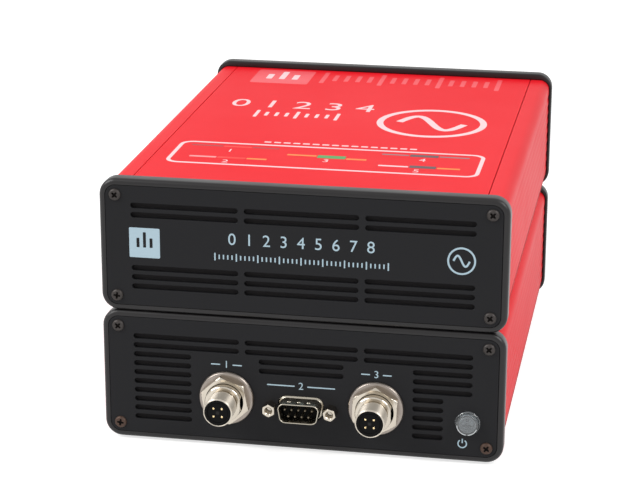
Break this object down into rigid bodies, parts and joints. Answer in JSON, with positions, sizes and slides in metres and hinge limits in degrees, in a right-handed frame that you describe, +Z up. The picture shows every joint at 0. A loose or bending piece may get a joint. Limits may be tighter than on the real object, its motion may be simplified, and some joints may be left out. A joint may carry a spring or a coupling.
{
  "type": "potentiostat",
  "caption": "Bench potentiostat: two stacked extruded decks with slotted end panels, round cell connectors, a D-shaped sense connector and a power button.",
  "frame": {"origin": "centre of the overall footprint, on the bench under the feet", "axes": "+X to the right seen from the front, +Y from the front panel to the rear, +Z up"},
  "size_m": [0.165, 0.24, 0.112],
  "materials": {
    "red_anodised": "red anodised extrusion",
    "black_moulding": "fine-grained moulding",
    "black_panel": "matt black anodised sheet",
    "black_steel": "black oxide",
    "nickel_plate": "bright nickel plate",
    "gold_plate": "thin gold plate",
    "zinc_steel": "zinc plate",
    "black_insulator": "glass-filled moulding",
    "white_insulator": "plain moulding",
    "clear_moulding": "clear polycarbonate",
    "black_rubber": "moulded rubber",
    "grey_cable": "flat cable jacket",
    "green_board": "solder mask",
    "plain_aluminium": "as extruded",
    "ferrite": "sintered ferrite",
    "winding": "tape over copper winding",
    "blue_sleeve": "shrink sleeve"
  },
  "bodies": {
    "case": {"capacitors": "blue_sleeve", "cell_contacts": "gold_plate", "cell_leads": "grey_cable", "cell_nuts": "nickel_plate", "cell_washers": "nickel_plate", "counter_insert": "black_insulator", "counter_shell": "nickel_plate", "deck_grommet": "black_rubber", "deck_ribbon": "grey_cable", "deck_screws": "zinc_steel", "deck_spacers": "zinc_steel", "earth_collar": "black_insulator", "earth_nut": "nickel_plate", "earth_socket": "nickel_plate", "earth_tag": "zinc_steel", "fan_frame": "black_insulator", "fan_screws": "black_steel", "heat_sink": "plain_aluminium", "inlet_pins": "zinc_steel", "inlet_screws": "black_steel", "logic_chips": "black_insulator", "lower_cover": "red_anodised", "lower_front_bezel": "black_moulding", "lower_front_panel": "black_panel", "lower_housing": "red_anodised", "lower_panel_screws": "black_steel", "lower_rear_bezel": "black_moulding", "lower_rear_panel": "black_panel", "main_board": "green_board", "power_board": "green_board", "power_devices": "black_insulator", "power_ring": "clear_moulding", "power_switch": "black_insulator", "range_relays": "white_insulator", "ribbon_headers": "black_insulator", "rubber_feet": "black_rubber", "sense_block": "black_insulator", "sense_jackscrews": "nickel_plate", "sense_pins": "gold_plate", "sense_shell": "nickel_plate", "shield_cover": "nickel_plate", "supply_inlet": "black_insulator", "transformer_coil": "winding", "transformer_core": "ferrite", "upper_cover": "red_anodised", "upper_front_bezel": "black_moulding", "upper_front_panel": "black_panel", "upper_housing": "red_anodised", "upper_panel_screws": "black_steel", "upper_rear_bezel": "black_moulding", "upper_rear_panel": "black_panel", "usb_shell": "nickel_plate", "usb_tongue": "white_insulator", "working_insert": "black_insulator", "working_shell": "nickel_plate"},
    "power_button": {"power_button": "clear_moulding"},
    "fan_rotor": {"fan_rotor": "black_insulator"}
  },
  "joints": [
    {"name": "power_button_press", "type": "slide", "parent": "case", "child": "power_button", "axis": [0, 1, 0], "range_m": [0, 0.0015], "stiffness_N_per_m": 800},
    {"name": "fan_spin", "type": "hinge", "parent": "case", "child": "fan_rotor", "pos_m": [0.046, 0.11, 0.08425], "axis": [0, 1, 0], "continuous": true}
  ]
}
